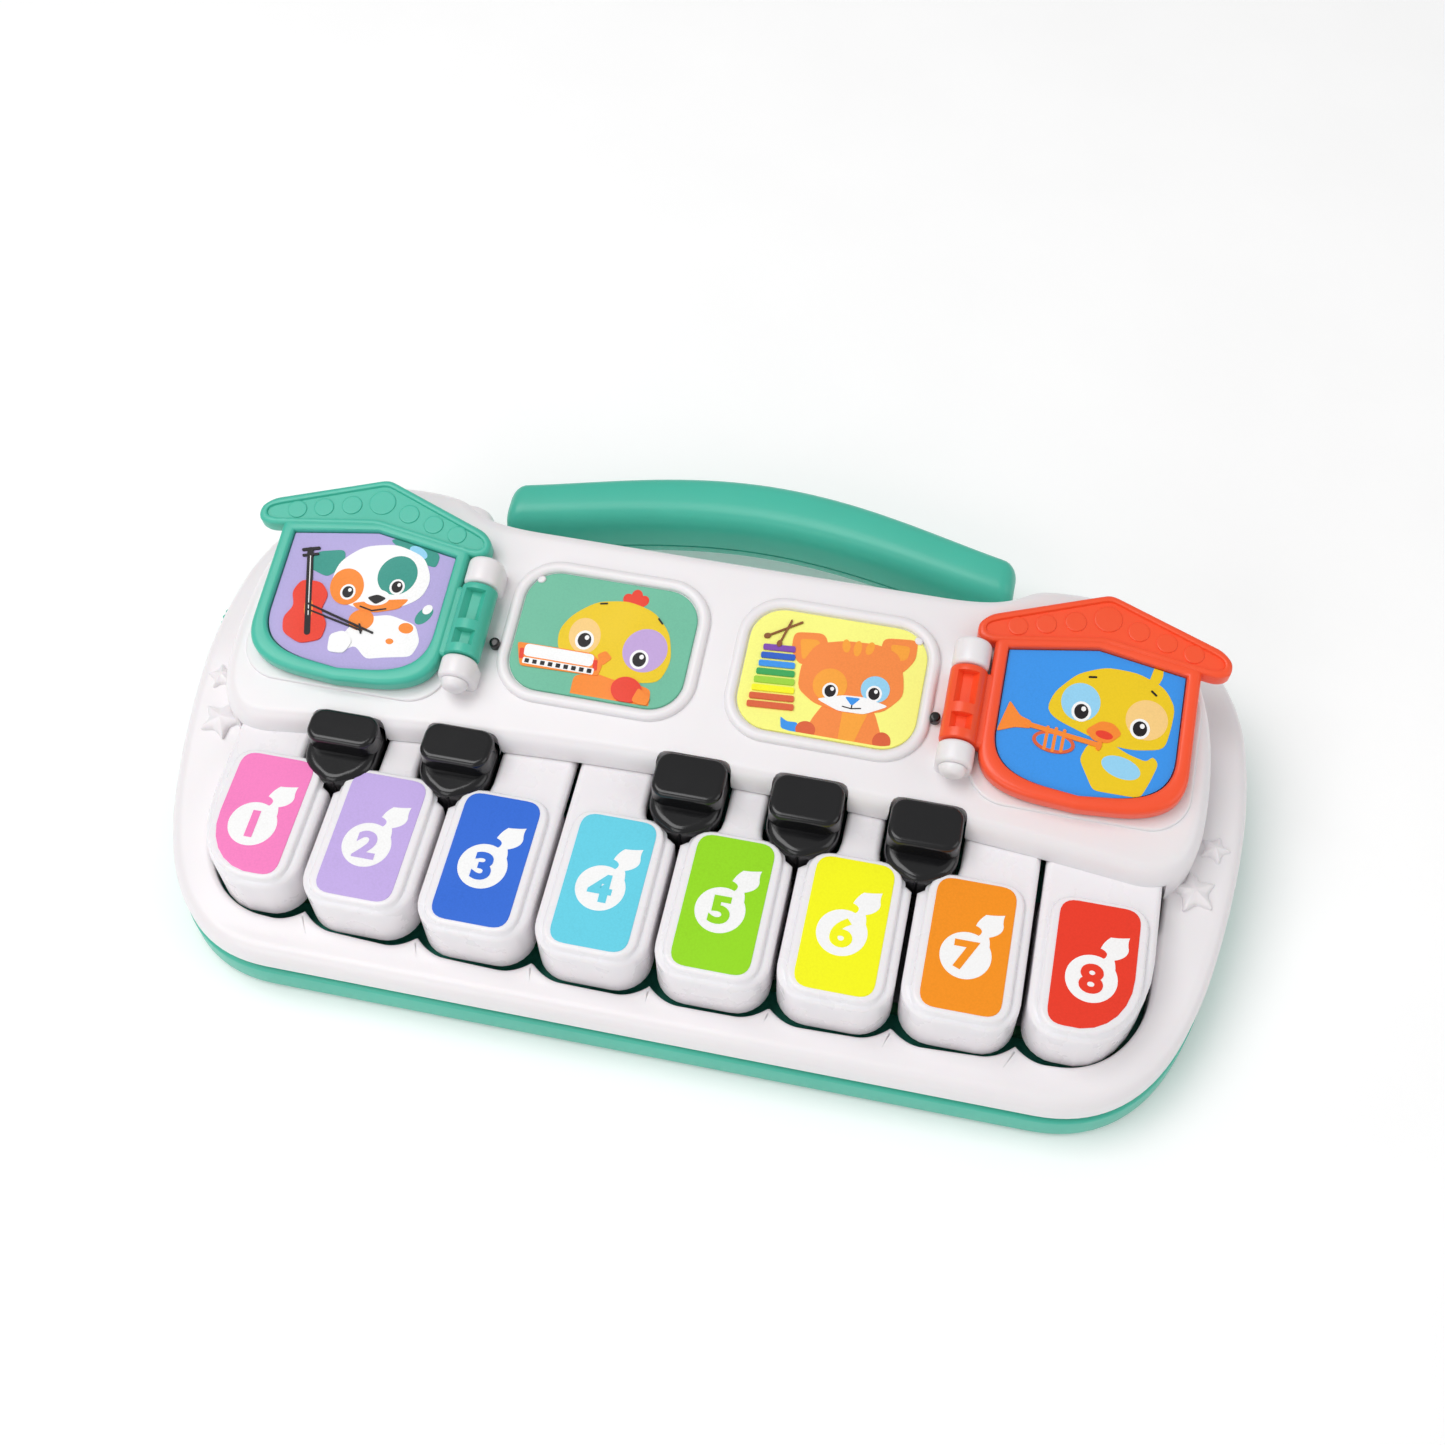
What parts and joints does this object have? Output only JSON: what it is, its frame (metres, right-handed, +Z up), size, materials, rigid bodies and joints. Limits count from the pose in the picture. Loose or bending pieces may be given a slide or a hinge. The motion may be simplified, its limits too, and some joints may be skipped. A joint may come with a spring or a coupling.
{
  "type": "toy electronic keyboard",
  "caption": "Baby keyboard toy with coloured keys, two picture windows, two flip-over house doors and a carrying handle.",
  "frame": {"origin": "bottom centre of the whole object, on the table under the middle of its bounding box", "axes": "+X along the keys from low to high notes, +Y from the player towards the handle, +Z up"},
  "size_m": [0.2432, 0.1448, 0.0483],
  "materials": {
    "white_shell": "satin gloss",
    "teal_shell": "satin gloss",
    "red_door": "satin gloss",
    "black_gloss": "gloss",
    "white_key_1": "gloss with a pink label",
    "white_key_2": "gloss with a lilac label",
    "white_key_3": "gloss with a blue label",
    "white_key_4": "gloss with a light blue label",
    "white_key_5": "gloss with a green label",
    "white_key_6": "gloss with a yellow label",
    "white_key_7": "gloss with an orange label",
    "white_key_8": "gloss with a red label",
    "green_print": "printed sheet",
    "yellow_print": "printed sheet",
    "lavender_print": "printed sheet",
    "blue_print": "printed sheet",
    "panel_print": "printed sheet",
    "steel": "plain",
    "zinc": "zinc plated",
    "nickel": "nickel plated",
    "grey_rubber": "matt",
    "board": "matt",
    "dark_plastic": "matt",
    "paper_cone": "matt",
    "magnet": "plated",
    "battery_sleeve": "printed sleeve",
    "led_lens": "clear"
  },
  "bodies": {
    "case": {"base_shell": "teal_shell", "top_shell": "white_shell", "handle_upper": "teal_shell", "handle_lower": "teal_shell", "chick_window": "green_print", "cat_window": "yellow_print", "left_under_panel": "panel_print", "right_under_panel": "panel_print", "left_hinge_pin": "white_shell", "right_hinge_pin": "white_shell", "key_axle": "steel", "key_board": "board", "contact_strip": "grey_rubber", "main_board": "board", "speaker_frame": "dark_plastic", "speaker_cone": "paper_cone", "speaker_magnet": "magnet", "battery_door": "teal_shell", "battery_1": "battery_sleeve", "battery_2": "battery_sleeve", "battery_3": "battery_sleeve", "battery_contact_front": "nickel", "battery_contact_rear": "nickel", "case_screw_1": "zinc", "case_screw_2": "zinc", "case_screw_3": "zinc", "case_screw_4": "zinc", "case_screw_5": "zinc", "case_screw_6": "zinc", "battery_door_screw": "zinc", "left_led": "led_lens", "right_led": "led_lens", "rubber_foot_1": "grey_rubber", "rubber_foot_2": "grey_rubber", "rubber_foot_3": "grey_rubber", "rubber_foot_4": "grey_rubber"},
    "white_key_1": {"white_key_1": "white_key_1"},
    "white_key_2": {"white_key_2": "white_key_2"},
    "white_key_3": {"white_key_3": "white_key_3"},
    "white_key_4": {"white_key_4": "white_key_4"},
    "white_key_5": {"white_key_5": "white_key_5"},
    "white_key_6": {"white_key_6": "white_key_6"},
    "white_key_7": {"white_key_7": "white_key_7"},
    "white_key_8": {"white_key_8": "white_key_8"},
    "black_key_1": {"black_key_1": "black_gloss"},
    "black_key_2": {"black_key_2": "black_gloss"},
    "black_key_3": {"black_key_3": "black_gloss"},
    "black_key_4": {"black_key_4": "black_gloss"},
    "black_key_5": {"black_key_5": "black_gloss"},
    "left_door": {"left_door": "teal_shell", "left_door_picture": "lavender_print"},
    "right_door": {"right_door": "red_door", "right_door_picture": "blue_print"},
    "left_plunger": {"left_plunger": "black_gloss"},
    "right_plunger": {"right_plunger": "black_gloss"},
    "power_slider": {"power_slider": "black_gloss"},
    "side_wheel": {"side_wheel": "teal_shell"}
  },
  "joints": [
    {"name": "white_key_1_press", "type": "hinge", "parent": "case", "child": "white_key_1", "pos_m": [-0.09014, 0.0156, 0.023], "axis": [1, 0, 0], "range_deg": [0, 2.5], "stiffness_Nm_per_rad": 0.3, "springref_deg": -5.73},
    {"name": "white_key_2_press", "type": "hinge", "parent": "case", "child": "white_key_2", "pos_m": [-0.06414, 0.0156, 0.023], "axis": [1, 0, 0], "range_deg": [0, 2.5], "stiffness_Nm_per_rad": 0.3, "springref_deg": -5.73},
    {"name": "white_key_3_press", "type": "hinge", "parent": "case", "child": "white_key_3", "pos_m": [-0.03814, 0.0156, 0.023], "axis": [1, 0, 0], "range_deg": [0, 2.5], "stiffness_Nm_per_rad": 0.3, "springref_deg": -5.73},
    {"name": "white_key_4_press", "type": "hinge", "parent": "case", "child": "white_key_4", "pos_m": [-0.01214, 0.0156, 0.023], "axis": [1, 0, 0], "range_deg": [0, 2.5], "stiffness_Nm_per_rad": 0.3, "springref_deg": -5.73},
    {"name": "white_key_5_press", "type": "hinge", "parent": "case", "child": "white_key_5", "pos_m": [0.01386, 0.0156, 0.023], "axis": [1, 0, 0], "range_deg": [0, 2.5], "stiffness_Nm_per_rad": 0.3, "springref_deg": -5.73},
    {"name": "white_key_6_press", "type": "hinge", "parent": "case", "child": "white_key_6", "pos_m": [0.03986, 0.0156, 0.023], "axis": [1, 0, 0], "range_deg": [0, 2.5], "stiffness_Nm_per_rad": 0.3, "springref_deg": -5.73},
    {"name": "white_key_7_press", "type": "hinge", "parent": "case", "child": "white_key_7", "pos_m": [0.06586, 0.0156, 0.023], "axis": [1, 0, 0], "range_deg": [0, 2.5], "stiffness_Nm_per_rad": 0.3, "springref_deg": -5.73},
    {"name": "white_key_8_press", "type": "hinge", "parent": "case", "child": "white_key_8", "pos_m": [0.09186, 0.0156, 0.023], "axis": [1, 0, 0], "range_deg": [0, 2.5], "stiffness_Nm_per_rad": 0.3, "springref_deg": -5.73},
    {"name": "black_key_1_press", "type": "hinge", "parent": "case", "child": "black_key_1", "pos_m": [-0.07714, 0.0156, 0.023], "axis": [1, 0, 0], "range_deg": [0, 3], "stiffness_Nm_per_rad": 0.25, "springref_deg": -5.73},
    {"name": "black_key_2_press", "type": "hinge", "parent": "case", "child": "black_key_2", "pos_m": [-0.05114, 0.0156, 0.023], "axis": [1, 0, 0], "range_deg": [0, 3], "stiffness_Nm_per_rad": 0.25, "springref_deg": -5.73},
    {"name": "black_key_3_press", "type": "hinge", "parent": "case", "child": "black_key_3", "pos_m": [0.00086, 0.0156, 0.023], "axis": [1, 0, 0], "range_deg": [0, 3], "stiffness_Nm_per_rad": 0.25, "springref_deg": -5.73},
    {"name": "black_key_4_press", "type": "hinge", "parent": "case", "child": "black_key_4", "pos_m": [0.02686, 0.0156, 0.023], "axis": [1, 0, 0], "range_deg": [0, 3], "stiffness_Nm_per_rad": 0.25, "springref_deg": -5.73},
    {"name": "black_key_5_press", "type": "hinge", "parent": "case", "child": "black_key_5", "pos_m": [0.05286, 0.0156, 0.023], "axis": [1, 0, 0], "range_deg": [0, 3], "stiffness_Nm_per_rad": 0.25, "springref_deg": -5.73},
    {"name": "left_door_flip", "type": "hinge", "parent": "case", "child": "left_door", "pos_m": [-0.05464, -0.00141, 0.04053], "axis": [0, 0.9849, 0.1733], "range_deg": [0, 175]},
    {"name": "left_plunger_press", "type": "slide", "parent": "case", "child": "left_plunger", "axis": [0, 0.1733, -0.9849], "range_m": [0, 0.0012], "stiffness_N_per_m": 200, "springref_m": -0.001},
    {"name": "right_door_flip", "type": "hinge", "parent": "case", "child": "right_door", "pos_m": [0.05636, -0.00141, 0.04053], "axis": [0, -0.9849, -0.1733], "range_deg": [0, 175]},
    {"name": "right_plunger_press", "type": "slide", "parent": "case", "child": "right_plunger", "axis": [0, 0.1733, -0.9849], "range_m": [0, 0.0012], "stiffness_N_per_m": 200, "springref_m": -0.001},
    {"name": "power_slide", "type": "slide", "parent": "case", "child": "power_slider", "axis": [1, 0, 0], "range_m": [0, 0.0043]},
    {"name": "volume_wheel_turn", "type": "hinge", "parent": "case", "child": "side_wheel", "pos_m": [-0.11314, 0.0101, 0.0167], "axis": [0, 0, 1], "range_deg": [-140, 140]}
  ]
}
